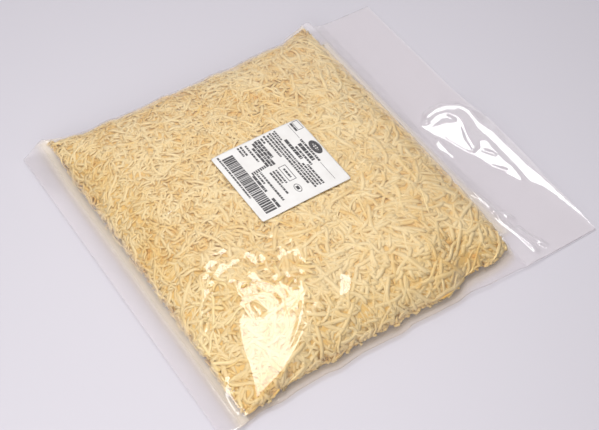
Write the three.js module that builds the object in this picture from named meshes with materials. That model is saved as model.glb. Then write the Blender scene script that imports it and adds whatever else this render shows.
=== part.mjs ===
// A clear film bag of grated cheese, lying flat, with a square paper sticker on its top face.
//
// Millimetres, +Z up. +X runs along the bag, from its short empty end to its long empty end, and +Y across it.
// The origin is at the middle of the base of the bag's box, on the surface that the bag lies on.
//
// The bag is a film tube: its lay-flat width is the same all along, so the pouch draws in at its sides where
// the cheese stands high, and its four corners stick out like ears. Both ends are pinched flat, sealed across,
// and run out into empty film. The film and the cheese that fills it are one closed solid, and the sticker is
// another.
import * as THREE from "three";

// The bag, end to end.
const FILM_WIDTH = 300; // lay-flat width of the film tube
const SHORT_END = 18; // empty film beyond the pouch, at the low x end
const FILL_LENGTH = 246; // the filled pouch
const LONG_END = 70; // empty film beyond the pouch, at the high x end
const FILL_HEIGHT = 38; // the pouch at its highest
const FLAP_THICKNESS = 0.8; // two layers of film with a little air between them

// The heat seals, pressed across both empty ends.
const SEAL_FROM_PINCH = 8; // from the pouch to each seal's near edge
const SEAL_WIDTH = 7;
const SEAL_THICKNESS = 0.5;
const SEAL_EDGE = 0.6; // the step up from a seal to the loose film beside it

// The pouch's section.
const LOW_FOLD_HEIGHT = 3.5; // where the low y side folds round, above the surface
const HIGH_FOLD_HEIGHT = 10; // and the high y side
const LOW_PINCH_HEIGHT = 7; // where the film leaves the pouch at its low x end
const HIGH_PINCH_HEIGHT = 9; // and at its high x end
const LOW_EAR_LIFT = 10; // how far the pouch's corners on the high y side stand up, at its low x end
const HIGH_EAR_LIFT = 5; // and at its high x end
const LOW_SIDE_DRAW_IN = 3; // how far the low y side draws in, where the pouch is highest
const HIGH_SIDE_DRAW_IN = 9.5; // and the high y side
const LOW_FIN = 6; // how far the empty film reaches past the cheese on the low y side
const CORNER_FIN = 9; // and how much farther at that side's high x corner
const END_SHARPNESS = 3.4; // how square the pouch is along its length
const SIDE_SHARPNESS = 4.2; // and across its width
const SHOULDER = 0.55; // how round its upper shoulders are, from 0, square, to 1, slanted
const HEEL = 0.5; // how round its lower edge is
const FLAT_FOOT = 1.35; // how far the flat foot spreads towards the sides
const LUMP = 0.7; // unevenness of the top face
const END_BULGE = 4; // how far the cheese pushes the high x end out, at the middle
const BULGE_REACH = 45; // how far that bulge reaches back into the pouch

// The ridge that stands up in the long empty end. It starts beside the pouch, turns, and runs along the outer edge.
const RIDGE_HEIGHT = 8;
const RIDGE_WIDTH = 13;
const RIDGE_START = 8; // its highest y
const RIDGE_STOP = -140; // its lowest y
const RIDGE_FADE = 55; // how gently it comes down to the surface there
const RIDGE_TURN = 19; // how slowly it turns from the pouch towards the outer edge
const RIDGE_FROM_PINCH = 23; // where it starts, beyond the pouch

// The sticker.
const STICKER_LENGTH = 78.5; // along x
const STICKER_WIDTH = 73; // along y
const STICKER_THICKNESS = 0.4;
const STICKER_GAP = 0.3; // between the sticker and the film
const STICKER_X = 6; // its middle, from the pouch's middle
const STICKER_Y = 4;

// Mesh steps.
const STEPS_ACROSS = 36;
const STEPS_POUCH = 36;
const STEPS_SKIRT = 10; // from the long end's seal to its outer edge
const STICKER_STEPS = 10;

const { clamp, lerp, smoothstep } = THREE.MathUtils;

const total = SHORT_END + FILL_LENGTH + LONG_END;
const lowEnd = -total / 2;
const highEnd = total / 2;
const pouchLow = lowEnd + SHORT_END;
const pouchHigh = highEnd - LONG_END;
const pouchMiddle = (pouchLow + pouchHigh) / 2;
const halfWidth = FILM_WIDTH / 2;
const lowSeal = pouchLow - SEAL_FROM_PINCH; // the seals' near edges
const highSeal = pouchHigh + SEAL_FROM_PINCH;

const bump = (x, middle, reach) => Math.exp(-(((x - middle) / reach) ** 2));

// From 1 along the middle of a span to 0 at its ends, u = -1 and 1.
const swell = (u, sharpness, shoulder) =>
  Math.pow(Math.max(0, 1 - Math.pow(Math.min(1, Math.abs(u)), sharpness)), shoulder);

// How far along the pouch x is, from -1 to 1, and past them on the empty ends.
const alongPouch = (x) => (x - pouchMiddle) / (FILL_LENGTH / 2);

// Half of the bag's width at x. side is -1 for the low y side and 1 for the high y side.
function halfWidthAt(x, side) {
  const drawIn = side < 0 ? LOW_SIDE_DRAW_IN : HIGH_SIDE_DRAW_IN;
  const buckles = 0.9 * Math.sin(x / 7.5 + 2 * side) + 0.6 * Math.sin(x / 4.1 + side);
  return halfWidth - (drawIn - buckles) * swell(alongPouch(x), END_SHARPNESS, SHOULDER);
}

// How far across the filled part v is, from -1 to 1. The film lies empty past it on the low y side.
function acrossCheese(x, v) {
  const fin = LOW_FIN * smoothstep(x, pouchLow, pouchLow + 40) + CORNER_FIN * smoothstep(x, pouchHigh - 65, pouchHigh - 35);
  return Math.max(-1, v < 0 ? v / (1 - fin / halfWidth) : v);
}

// How far the film at x moves outwards where the cheese pushes the pouch's high x end out.
function endBulge(x, v) {
  const near = smoothstep(x, pouchHigh - BULGE_REACH, pouchHigh) * smoothstep(highEnd - x, 0, LONG_END);
  return END_BULGE * near * (1 - v ** 4);
}

// The short empty end slopes down to the surface. Its low y corner lies lower than its middle, its high y corner
// higher.
function shortEndHeight(x, v) {
  const pinch = LOW_PINCH_HEIGHT * (1 - 0.5 * v * v) + LOW_EAR_LIFT * smoothstep(v, 0.6, 1);
  const edge = 1.2 + 1.6 * (1 - v * v);
  return lerp(pinch, edge, smoothstep(pouchLow - x, 0, SHORT_END));
}

// The long empty end falls to the surface, and the ridge stands up from it on its low y half.
function longEndHeight(x, v) {
  const out = (x - pouchHigh) / LONG_END;
  const pinch = HIGH_PINCH_HEIGHT * (v < 0 ? 1 - 0.75 * v * v : 1) + HIGH_EAR_LIFT * smoothstep(v, 0.6, 1);
  const fall = lerp(pinch, 1.4, smoothstep(out, 0, 0.6));
  const crease = 2.2 * bump(out, 0.2, 0.09) * smoothstep(-v, 0.25, 0.6);
  return fall + crease + ridgeHeight(x, v * halfWidth);
}

function ridgeHeight(x, y) {
  const start = RIDGE_START - y;
  const turned = 1 - Math.exp(-Math.max(0, start) / RIDGE_TURN);
  const crest = lerp(pouchHigh + RIDGE_FROM_PINCH, highEnd, turned);
  const fade =
    smoothstep(start, -RIDGE_WIDTH, RIDGE_WIDTH) * smoothstep(y, RIDGE_STOP, RIDGE_STOP + RIDGE_FADE);
  return RIDGE_HEIGHT * bump(x, crest, RIDGE_WIDTH) * fade;
}

// The height of the fold that runs round the pouch, and of the film beyond it. v runs from -1 to 1 across.
function foldHeight(x, v) {
  if (x < pouchLow) return shortEndHeight(x, v);
  if (x > pouchHigh) return longEndHeight(x, v);
  const pinch = x < pouchMiddle ? shortEndHeight(pouchLow, v) : longEndHeight(pouchHigh, v);
  const side = lerp(LOW_FOLD_HEIGHT, HIGH_FOLD_HEIGHT, (v + 1) / 2);
  return lerp(pinch, side, smoothstep(1 - Math.abs(alongPouch(x)), 0, 0.35));
}

// Gentle lumps where the cheese lies unevenly, none of them under the sticker.
function lumps(x, y) {
  const away = Math.hypot((x - pouchMiddle - STICKER_X) / STICKER_LENGTH, (y - STICKER_Y) / STICKER_WIDTH);
  const waves =
    Math.sin(x / 13 + 0.7) * Math.cos(y / 16) +
    0.6 * Math.sin(x / 8.1 - y / 10.3) +
    0.5 * Math.cos(x / 21 + y / 9.4 + 1.3);
  return LUMP * waves * smoothstep(away, 0.55, 0.9);
}

// The two layers of film together, thinner where a seal presses them.
function thickness(x) {
  const pressed = Math.max(
    clamp(Math.min(lowSeal - x, x - (lowSeal - SEAL_WIDTH)) / SEAL_EDGE, 0, 1),
    clamp(Math.min(x - highSeal, highSeal + SEAL_WIDTH - x) / SEAL_EDGE, 0, 1),
  );
  return lerp(FLAP_THICKNESS, SEAL_THICKNESS, pressed);
}

// The upper and lower faces of the bag at x, v across.
function topHeight(x, v) {
  const fullness =
    swell(alongPouch(x), END_SHARPNESS, SHOULDER) * swell(acrossCheese(x, v), SIDE_SHARPNESS, SHOULDER);
  const fold = foldHeight(x, v);
  return fold + thickness(x) / 2 + (FILL_HEIGHT - fold + lumps(x, v * halfWidth)) * fullness;
}

function bottomHeight(x, v) {
  const fullness = swell(alongPouch(x), END_SHARPNESS, HEEL) * swell(acrossCheese(x, v), SIDE_SHARPNESS, HEEL);
  const fold = foldHeight(x, v) - thickness(x) / 2;
  return fold * clamp(1 - FLAT_FOOT * fullness, 0, 1);
}

// Even stations from one x to another, without the first.
const stretch = (from, to, steps) =>
  Array.from({ length: steps }, (_, i) => lerp(from, to, (i + 1) / steps));

// The pouch's stations are closest near its two ends.
const pouchStretch = () =>
  stretch(0, 1, STEPS_POUCH).map((t) => lerp(pouchLow, pouchHigh, t - 0.1 * Math.sin(2 * Math.PI * t)));

const stations = [
  lowEnd,
  lowSeal - SEAL_WIDTH,
  lowSeal - SEAL_WIDTH + SEAL_EDGE,
  lowSeal - SEAL_EDGE,
  lowSeal,
  ...stretch(lowSeal, pouchLow, 2),
  ...pouchStretch(),
  ...stretch(pouchHigh, highSeal, 2),
  highSeal + SEAL_EDGE,
  highSeal + SEAL_WIDTH - SEAL_EDGE,
  highSeal + SEAL_WIDTH,
  ...stretch(highSeal + SEAL_WIDTH, highEnd, STEPS_SKIRT),
];

// A thin box whose grid of corners is moved by place(stepAlong, stepAcross, isTop).
function shapedBox(stepsAlong, stepsAcross, place) {
  const box = new THREE.BoxGeometry(stepsAlong, stepsAcross, 1, stepsAlong, stepsAcross, 1);
  const corners = box.getAttribute("position");
  for (let i = 0; i < corners.count; i++) {
    const along = Math.round(corners.getX(i) + stepsAlong / 2);
    const across = Math.round(corners.getY(i) + stepsAcross / 2);
    corners.setXYZ(i, ...place(along, across, corners.getZ(i) > 0));
  }
  box.computeVertexNormals();
  return box;
}

function bagGeometry() {
  return shapedBox(stations.length - 1, STEPS_ACROSS, (along, across, isTop) => {
    const x = stations[along];
    const even = (2 * across) / STEPS_ACROSS - 1;
    const v = lerp(even, Math.sin((even * Math.PI) / 2), 0.45); // steps are closer at the sides
    const y = v * halfWidthAt(x, Math.sign(v));
    return [x + endBulge(x, v), y, isTop ? topHeight(x, v) : bottomHeight(x, v)];
  });
}

// The sticker follows the top face, which is smooth under it.
function stickerGeometry() {
  return shapedBox(STICKER_STEPS, STICKER_STEPS, (along, across, isTop) => {
    const x = pouchMiddle + STICKER_X + (along / STICKER_STEPS - 0.5) * STICKER_LENGTH;
    const y = STICKER_Y + (across / STICKER_STEPS - 0.5) * STICKER_WIDTH;
    const film = topHeight(x, y / halfWidthAt(x, Math.sign(y)));
    return [x, y, film + STICKER_GAP + (isTop ? STICKER_THICKNESS : 0)];
  });
}

function mesh(name, geometry, colour, roughness) {
  const material = new THREE.MeshStandardMaterial({ color: colour, roughness, metalness: 0 });
  const made = new THREE.Mesh(geometry, material);
  made.name = name;
  return made;
}

const bag = new THREE.Group();
bag.add(mesh("filled_bag", bagGeometry(), 0xe7cb98, 0.3));
bag.add(mesh("sticker", stickerGeometry(), 0xf8f4ec, 0.75));

export default bag;
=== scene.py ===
# %% [markdown]
# # A bag of grated cheese
#
# The object is a clear film bag that lies flat, filled with grated cheese, with a square paper sticker on
# top. Its solid shape comes from a CAD model. This lesson builds what the eye sees in that shape's place:
# the film, the shreds under it, the sticker and its print.
#
# Three ways of making such a bag are common. One is a single block with a picture of cheese on it, which is
# quick and looks flat from near by. One is to pour thousands of loose shreds into a bag in a simulation,
# which is slow and hard to steer. The way taken here lies in between: every shred is real mesh, but each is
# laid by rule against the inside of the film, so the bag fills in a few seconds and fills the same way each
# time.

# %% Load the CAD model and set up
import math

import bmesh
import bpy
import numpy as np
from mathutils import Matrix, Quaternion, Vector, noise
from mathutils.bvhtree import BVHTree
from mathutils.geometry import delaunay_2d_cdt


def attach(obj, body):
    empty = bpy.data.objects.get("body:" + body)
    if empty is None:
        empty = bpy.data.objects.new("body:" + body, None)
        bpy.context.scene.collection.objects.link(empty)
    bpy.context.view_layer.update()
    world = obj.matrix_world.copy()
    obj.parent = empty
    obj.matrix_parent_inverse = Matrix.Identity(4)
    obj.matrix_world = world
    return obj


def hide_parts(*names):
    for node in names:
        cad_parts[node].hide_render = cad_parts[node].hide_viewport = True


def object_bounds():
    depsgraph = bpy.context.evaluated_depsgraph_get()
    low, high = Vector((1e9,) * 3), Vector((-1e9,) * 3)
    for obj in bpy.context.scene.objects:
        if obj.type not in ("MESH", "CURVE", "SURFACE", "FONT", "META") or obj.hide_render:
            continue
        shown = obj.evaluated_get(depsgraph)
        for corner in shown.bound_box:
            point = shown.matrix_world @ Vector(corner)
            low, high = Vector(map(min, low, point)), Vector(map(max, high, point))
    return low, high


MM = 0.001  # sizes are written in millimetres and used in metres
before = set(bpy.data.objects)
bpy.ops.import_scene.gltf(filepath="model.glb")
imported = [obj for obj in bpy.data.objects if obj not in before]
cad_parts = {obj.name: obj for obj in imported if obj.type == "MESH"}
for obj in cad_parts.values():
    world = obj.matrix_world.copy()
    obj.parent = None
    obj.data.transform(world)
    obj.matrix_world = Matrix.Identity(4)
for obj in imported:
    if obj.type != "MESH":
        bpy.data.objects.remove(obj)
cad_low, cad_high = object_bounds()
scene = bpy.context.scene
print("the CAD box, mm:", [round(side / MM, 1) for side in cad_high - cad_low])

# %% [markdown]
# ## The camera
#
# A camera could be turned until the bag looks right, but it is plainer to say where it stands and which way
# it points. This one looks down over the bag's low x, low y corner, through a long lens, so that opposite
# sides of the bag stay nearly parallel. The last number is a slight roll, as when a camera is held by hand.

# %% Camera
CAMERA_PLACE = Vector((-382.7, -543.1, 781.0)) * MM
CAMERA_TURN = math.radians(-34.86)  # about the upright, from looking along +y
CAMERA_DOWN = math.radians(50.51)  # below level
CAMERA_ROLL = math.radians(1.52)
LENS = 79.33  # mm, on a sensor 36 mm wide

camera = bpy.data.objects.new("camera", bpy.data.cameras.new("camera"))
scene.collection.objects.link(camera)
scene.camera = camera
camera.data.lens = LENS
camera.data.clip_start = 10 * MM
level = math.cos(CAMERA_DOWN)
looking = Vector((-math.sin(CAMERA_TURN) * level, math.cos(CAMERA_TURN) * level, -math.sin(CAMERA_DOWN)))
camera.location = CAMERA_PLACE
camera.rotation_mode = "QUATERNION"
camera.rotation_quaternion = looking.to_track_quat("-Z", "Y") @ Quaternion((0, 0, 1), CAMERA_ROLL)
print("the camera looks along", [round(part, 3) for part in looking])

# %% [markdown]
# ## Helpers for materials
#
# Every material here is a small network of nodes. Networks can be drawn by hand in the editor. In a script,
# a few helpers are enough: one makes a material whose network is empty, one adds a node and fills its
# sockets, from plain values or from other nodes, and a few short ones add the nodes that come up again and
# again.


# %% Node helpers
def new_material(name):
    """A material with only an output node, and its node tree."""
    material = bpy.data.materials.new(name)
    material.use_nodes = True
    tree = material.node_tree
    tree.nodes.clear()
    tree.nodes.new("ShaderNodeOutputMaterial")
    return material, tree


def add_node(tree, kind, settings=None, **sockets):
    """Adds a node. Its sockets are filled by name, with _ for a space, or by place, as in i0= and i1=."""
    node = tree.nodes.new("ShaderNode" + kind)
    for key, value in (settings or {}).items():
        setattr(node, key, value)
    for key, value in sockets.items():
        by_place = key[0] == "i" and key[1:].isdigit()
        socket = node.inputs[int(key[1:]) if by_place else key.replace("_", " ")]
        if isinstance(value, bpy.types.NodeSocket):
            tree.links.new(value, socket)
        else:
            socket.default_value = value
    return node


def maths(tree, operation, *values):
    """A Math node's result. The values go into its sockets in turn."""
    sockets = {f"i{place}": value for place, value in enumerate(values)}
    return add_node(tree, "Math", {"operation": operation}, **sockets).outputs[0]


def ramp(tree, factor, *stops):
    """A colour ramp through (position, colour) stops."""
    node = add_node(tree, "ValToRGB", i0=factor)
    elements = node.color_ramp.elements
    for element, (position, colour) in zip(elements, (stops[0], stops[-1])):
        element.position, element.color = position, colour
    for position, colour in stops[1:-1]:
        elements.new(position).color = colour
    return node.outputs["Color"]


def carried(tree, name):
    """A number that the mesh carries at each of its points."""
    return add_node(tree, "Attribute", {"attribute_name": name}).outputs["Fac"]


def pattern(tree, scale, detail):
    """A noise pattern from 0 to 1 that keeps its place on the object."""
    place = add_node(tree, "TexCoord").outputs["Object"]
    return add_node(tree, "TexNoise", Vector=place, Scale=scale, Detail=detail).outputs["Fac"]


def bumps(tree, heights, strength, distance):
    """The normals of a surface that has these heights."""
    return add_node(tree, "Bump", Strength=strength, Distance=distance, Height=heights).outputs["Normal"]


def mix(tree, share, first, second):
    """Two shaders mixed, with this share of the second one."""
    return add_node(tree, "MixShader", i0=share, i1=first.outputs[0], i2=second.outputs[0])


def show(tree, shader):
    """Sends a shader to the material's output."""
    tree.links.new(shader.outputs[0], tree.nodes["Material Output"].inputs["Surface"])


# %% [markdown]
# ## Helpers for pieces
#
# A finished piece is an object whose place is in its mesh. It moves with the CAD model's body, which here
# is called root, and it gets a material of its own. The meshes are made with bmesh, which can be changed
# freely. It has to be turned into an ordinary mesh to be shown, and into a tree to be measured with rays.


# %% Piece helpers
def to_mesh(bm, name):
    """Turns a bmesh into a mesh and lets the bmesh go."""
    mesh = bpy.data.meshes.new(name)
    bm.to_mesh(mesh)
    bm.free()
    return mesh


def new_object(mesh, material):
    """Puts a mesh into the scene."""
    mesh.materials.append(material)
    thing = bpy.data.objects.new(mesh.name, mesh)
    scene.collection.objects.link(thing)
    return thing


def finish_piece(mesh, material):
    """Makes a mesh into a piece that rides on the CAD model's body."""
    piece = new_object(mesh, material)
    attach(piece, "root")
    triangles = sum(len(face.vertices) - 2 for face in mesh.polygons)
    print(f"{mesh.name}: {triangles} triangles")
    return piece


def faces_at(corners):
    """Every face that touches one of these corners."""
    return list({face for corner in corners for face in corner.link_faces})


def to_tree(bm):
    """Turns a bmesh into a tree that rays can be cast at, and lets the bmesh go."""
    tree = BVHTree.FromBMesh(bm)
    bm.free()
    return tree


def cad_tree(node):
    """Such a tree for one solid of the CAD model."""
    bm = bmesh.new()
    bm.from_mesh(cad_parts[node].data)
    return to_tree(bm)


# %% [markdown]
# ## Reading the CAD bag
#
# The film has to lie where the CAD model's bag is. Its size could be typed in again, but then the two could
# drift apart. Here the shape is measured instead: a ray dropped on the CAD bag gives the height of its top,
# and one sent up from below gives its underside. The bag's sides are found by halving: a ray that hits is
# inside the outline, one that misses is outside, and sixteen halvings bring the two together.

# %% Measure the bag's outline
SHORT_END_STEPS, POUCH_STEPS, LONG_END_STEPS = 12, 150, 74  # the film's steps along the bag
ACROSS = 204  # and across it
CROWDING = 0.45  # how far the steps crowd towards the sides, where the film turns over
FOLDS_AT = 0.36  # how far across the long end its folds lie, as a share of its width
FOLDS_CROWDING = 0.4  # how far its steps crowd towards them
FOLDS_CROWDED = 20 * MM  # how far past the pouch the crowding is complete
POUCH_LOW, POUCH_HIGH = -149 * MM, 97 * MM  # where the pouch is pinched and its empty ends begin
HAIR = 0.05 * MM  # a hair's breadth, to stay just inside the CAD surface
UP, DOWN = Vector((0, 0, 1)), Vector((0, 0, -1))

bag_tree = cad_tree("filled_bag")


def top_at(x, y):
    """The point on the CAD bag's top at x, y, or None beside the bag."""
    return bag_tree.ray_cast(Vector((x, y, cad_high.z + 1)), DOWN)[0]


def underside_at(x, y):
    """The point on its underside there."""
    return bag_tree.ray_cast(Vector((x, y, cad_low.z - 1)), UP)[0]


def side_at(x, sign):
    """How far the bag reaches across at x, towards +y or -y."""
    inside, outside = 0.0, sign * (cad_high.y + 1 * MM)
    for _ in range(16):
        middle = (inside + outside) / 2
        inside, outside = (middle, outside) if top_at(x, middle) else (inside, middle)
    return inside


xs = np.concatenate(
    [
        np.linspace(cad_low.x + HAIR, POUCH_LOW, SHORT_END_STEPS, endpoint=False),
        np.linspace(POUCH_LOW, POUCH_HIGH, POUCH_STEPS, endpoint=False),
        np.linspace(POUCH_HIGH, cad_high.x - HAIR, LONG_END_STEPS + 1),
    ]
)
ALONG = len(xs) - 1
low_side = np.array([side_at(x, -1) for x in xs])
high_side = np.array([side_at(x, 1) for x in xs])
even = np.linspace(-1, 1, ACROSS + 1)
across = (1 - CROWDING) * even + CROWDING * np.sin(even * math.pi / 2)
share_across = np.repeat((across[None, :] + 1) / 2, ALONG + 1, axis=0)
turn = 2 * math.pi * (share_across - FOLDS_AT)
swell = (np.sin(turn) + math.sin(2 * math.pi * FOLDS_AT)) / (2 * math.pi)
share_across -= FOLDS_CROWDING * np.clip((xs[:, None] - POUCH_HIGH) / FOLDS_CROWDED, 0, 1) * swell
ys = low_side[:, None] + (high_side - low_side)[:, None] * share_across
print("the pouch draws in to", round((high_side - low_side).min() / MM, 1), "mm")

# %% Measure the top and the underside
TOP_ROUNDS, UNDER_ROUNDS = 10, 4  # how often the heights are evened out
TOP_EVEN = 95  # the top is evened out up to this x, in mm
LEAST_FILLED = 3.5 * MM  # the sheets are further apart than this where there is cheese between them

film_top = np.zeros_like(ys)
film_under = np.zeros_like(ys)
for i, x in enumerate(xs):
    for j in range(ACROSS + 1):
        y = ys[i, j] * (1 - 1e-4)  # so that a ray at the side can't miss
        film_top[i, j] = top_at(x, y).z
        film_under[i, j] = underside_at(x, y).z

# At the very edge the two sheets meet, half way up the thin wall of the CAD bag.
rim = np.zeros_like(ys, bool)
rim[[0, -1], :] = rim[:, [0, -1]] = True
film_top[rim] = film_under[rim] = (film_top + film_under)[rim] / 2
x_mm = np.repeat(xs[:, None], ACROSS + 1, axis=1) / MM
y_mm = ys / MM


def soften(heights, rounds, where=None):
    """Evens out a grid of heights, a little more each round, and leaves its rim where it is."""
    for _ in range(rounds):
        beside = heights[:-2, 1:-1] + heights[2:, 1:-1] + heights[1:-1, :-2] + heights[1:-1, 2:]
        change = 0.5 * (beside / 4 - heights[1:-1, 1:-1])
        heights[1:-1, 1:-1] += change if where is None else change * where[1:-1, 1:-1]


soften(film_top, TOP_ROUNDS, x_mm < TOP_EVEN)
soften(film_under, UNDER_ROUNDS)
filled = film_top - film_under > LEAST_FILLED
print("the sheets stand apart over", round(100 * filled.mean()), "percent of the bag")

# %% [markdown]
# ## A taut corner
#
# From the top of the heap down to the pouch's low x, low y corner the film is pulled straight. It lies on
# the cheese there like two boards that meet in a ridge, and the wider of them mirrors a lamp as one bright
# patch. Such facets could be sculpted by hand. Here each is a plane, given by one point and two slopes.
# Inside an area that a few corners mark out, the film is cut down to the lower plane, and in the tightest
# part of that area it is also raised a little where it hangs below the planes. The cheese pushes the
# steeper plane up in one place, which bends the ridge.


# %% Taut corner
def ease(value, low, high):
    """From 0 at low to 1 at high, starting and ending gently."""
    t = np.clip((value - low) / (high - low), 0, 1)
    return t * t * (3 - 2 * t)


def how_far_inside(corners, x, y):
    """The distance in mm to the nearest side of an area without hollows. Its corners go round to the left."""
    nearest = np.full_like(x, np.inf)
    for (x0, y0), (x1, y1) in zip(corners, corners[1:] + corners[:1]):
        side = ((x1 - x0) * (y - y0) - (y1 - y0) * (x - x0)) / math.hypot(x1 - x0, y1 - y0)
        nearest = np.minimum(nearest, side)
    return nearest


TAUT_CORNERS = [
    (-146, -150), (-104, -138), (-83, -116), (-60, -97), (-55, -76), (-112, -52), (-128, -62), (-143, -82),
    (-155, -100), (-155, -132),
]
TIGHT_CORNERS = [
    (-145, -148), (-106, -140), (-86, -129), (-73, -120), (-75, -114), (-86, -104), (-122, -86), (-131, -98),
    (-143, -137),
]  # where it is tightest
BOARDS = [  # for each plane a point in mm, and its slopes along x and y
    ((-136, -139, 11.3), (0.21, 0.22)),
    ((-134, -138, 11.9), (0.41, 0.135)),
]
BULGE_AT, BULGE_RADIUS, BULGE = (-123, -100), 13, 0.75  # mm, where the cheese pushes the second plane up
TAUT_EDGE = 3.0  # mm over which the film comes back up at the area's sides
TIGHT_STARTS, TIGHT_FULL = -1, 5  # mm inside the tightest part
TAUT_RISE = 2.5 * MM  # the most that the film is raised to meet the planes

taut = ease(how_far_inside(TAUT_CORNERS, x_mm, y_mm), 0, TAUT_EDGE)
tight = ease(how_far_inside(TIGHT_CORNERS, x_mm, y_mm), TIGHT_STARTS, TIGHT_FULL)
boards = [z + slope_x * (x_mm - x) + slope_y * (y_mm - y) for (x, y, z), (slope_x, slope_y) in BOARDS]
from_bulge = np.hypot(x_mm - BULGE_AT[0], y_mm - BULGE_AT[1]) / BULGE_RADIUS
boards[1] += BULGE * np.exp(-(from_bulge**2) / 2)
cut = film_top - np.minimum(*boards) * MM
cut = np.where(cut > 0, cut * taut, np.maximum(cut, -TAUT_RISE) * tight)
film_top -= np.where(rim, 0, cut)
print("the taut corner lies up to", round(cut.max() / MM, 1), "mm lower")


# %% [markdown]
# ## Folds in the long empty end
#
# Loose film doesn't lie smooth. Film bends but hardly stretches, so it folds like paper, into flat facets
# that meet in sharp creases. Where one of them is turned towards a lamp, the whole facet lights up at once,
# and that is what shows such film. Cloth simulation makes folds too, but never the same ones as on a given
# bag.
#
# So the folds are written down. Each line below runs along a crest or a valley, and gives x, y and the
# height of the film's top sheet there, in millimetres. The lines are joined into a net of triangles, whose
# sides follow them, and the film's grid is then lifted to that net with rays.

# %% Folds of the long empty end
FOLD_LINES = [
    # where the film has come down from the pouch
    [(104, 150, 7.6), (104, 60, 7), (104, 0, 6.8), (104, -60, 6.6), (104, -110, 6), (104, -150, 3.6)],
    [
        (119, 150, 2.6), (119, 60, 2.4), (116, 8, 2.2), (115, -20, 2), (118, -60, 2.1), (120, -110, 2),
        (120, -150, 1.6),
    ],
    # the flat film that the great fold rises from, on its outer side
    [
        (132, 150, 1.6), (132, 60, 1.6), (127, 18, 1.7), (136, 21, 1.6), (149, 20, 1.6), (160, 13, 1.7),
        (164, 4, 2.6),
    ],
    # the outer edge
    [
        (167, 150, 1.2), (167, 26, 1.5), (167, 10, 2.8), (167, -4, 5.4), (167, -14, 7), (167, -26, 8.4),
        (167, -37, 7.6), (167, -50, 7.4), (167, -63, 6.7), (167, -77, 5.6), (167, -90, 4.6),
        (167, -101, 4.3), (167, -112, 4), (167, -124, 3.4), (167, -136, 2.4), (167, -150, 1.2),
    ],
    # the crest of the great fold, an arch and then a long line that runs down beside the edge
    [
        (123.5, 9.5, 4.5), (128, 13, 6.9), (135.5, 13, 9.7), (143, 10, 12), (152.5, 2.5, 13.9),
        (156, -5.5, 13.3), (156, -14, 11.7), (156.5, -23, 10.7), (159, -34, 10.4), (160, -51, 8.7),
        (161, -64, 7.5), (162, -76, 6.2), (164, -89, 5.6), (165, -100, 5), (165.5, -110, 4.4),
        (166, -122, 3.6), (167, -136, 2.4),
    ],
    # its foot, on the inner side
    [
        (124, 6, 4.1), (128.5, 8.5, 5.9), (135.5, 8, 8.2), (143, 5, 10.3), (150.5, 0, 12),
        (152.5, -6, 11.8), (152.5, -14, 10.4), (151.5, -21.5, 9), (152.5, -32, 7.9), (153.5, -43, 7),
        (154.5, -55, 5.7), (154.5, -65, 4.5), (154.5, -74, 3.4), (154.5, -84, 1.9), (159.5, -96, 2.9),
        (162, -108, 3), (164, -121, 2.7), (165.5, -133, 2),
    ],
    # the small arch inside the great one, crest and inner side
    [
        (125.5, 6, 5.6), (133, 7, 8.3), (141, 3, 10.7), (145, -4.5, 11.2), (145, -13, 10.3),
        (142, -19.5, 8.5), (140, -27, 6.9), (139, -35, 5.5),
    ],
    [
        (126, 4.5, 5.5), (132.5, 5, 7.8), (140, 1.5, 10), (143, -5.5, 10.3), (142.5, -13, 9.3),
        (140.5, -19, 7.8), (138, -27, 6), (137.5, -36, 4.7),
    ],
    # between the small arch and the patch, and inside the great fold's end
    [(127.5, 3.5, 4.7), (132, 4, 6.3), (139.5, 0.5, 8.5), (141.5, -5.5, 8.9)],
    [(150, -98, 1.6), (155, -112, 1.6), (161, -130, 1.5)],
    # the patch under it, round its rim, and the flat film before it
    [
        (124.5, 3.5, 4.2), (134, -3.5, 7.2), (141.5, -8.5, 9.3), (141, -14, 8.3), (138.5, -21, 6.3),
        (136.5, -30, 4.7), (135.5, -37, 3.4), (132, -29, 3.1), (129.5, -20, 3.2), (127.5, -13.5, 3.3),
        (124.5, -9.5, 2.7), (121, -5, 1.9),
    ],
    [(122, -9, 1.8), (126, -15, 1.8), (128, -21, 1.8), (131, -31, 1.8), (134, -39, 1.8)],
    # a low fold beside the patch
    [(117.5, -12, 3.5), (117.5, -22, 2.6), (118.5, -34, 1.9)],
    [(120, -12, 4.5), (120.5, -22, 3.6), (120, -34, 2.6)],
    # the facets beside the great fold
    [
        (137, -39.5, 2.6), (142.5, -40, 4.7), (146, -33.5, 7.1), (150.5, -37, 8.4), (149.5, -48, 6.8),
        (150, -57, 6), (151.5, -66, 5.5), (151.5, -75, 4.4), (151.5, -82, 2.6), (149.5, -83, 1.9),
        (146, -73, 1.9), (142, -65, 1.7), (139, -56, 1.7), (137.5, -48, 1.8), (137, -39.5, 2.6),
    ],
]

net_points = [Vector(point) for line in FOLD_LINES for point in line]
net_edges, start = [], 0
for line in FOLD_LINES:
    net_edges += [(k, k + 1) for k in range(start, start + len(line) - 1)]
    start += len(line)
flat_points = [point.xy for point in net_points]
flat_points, _, net_faces, from_point, _, _ = delaunay_2d_cdt(flat_points, net_edges, [], 0, 1e-4)
lifted = [(point.x, point.y, net_points[first[0]].z) for point, first in zip(flat_points, from_point)]
net_tree = BVHTree.FromPolygons(lifted, net_faces)
print("the net of folds has", len(net_faces), "triangles")


# %% Lift the long empty end to its folds
NET_STARTS, NET_FULL = 104, 110  # x in mm where the net begins, and where the film lies on it
NET_EVEN = 118  # the join is evened out up to this x
NET_END, NET_SIDE = 166.99, 149.99  # mm, just inside the net's end and sides


def on_net(x, y):
    """The net's height at x, y, all in mm."""
    above = Vector((min(x, NET_END), max(-NET_SIDE, min(y, NET_SIDE)), 100))
    return net_tree.ray_cast(above, DOWN)[0].z


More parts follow.
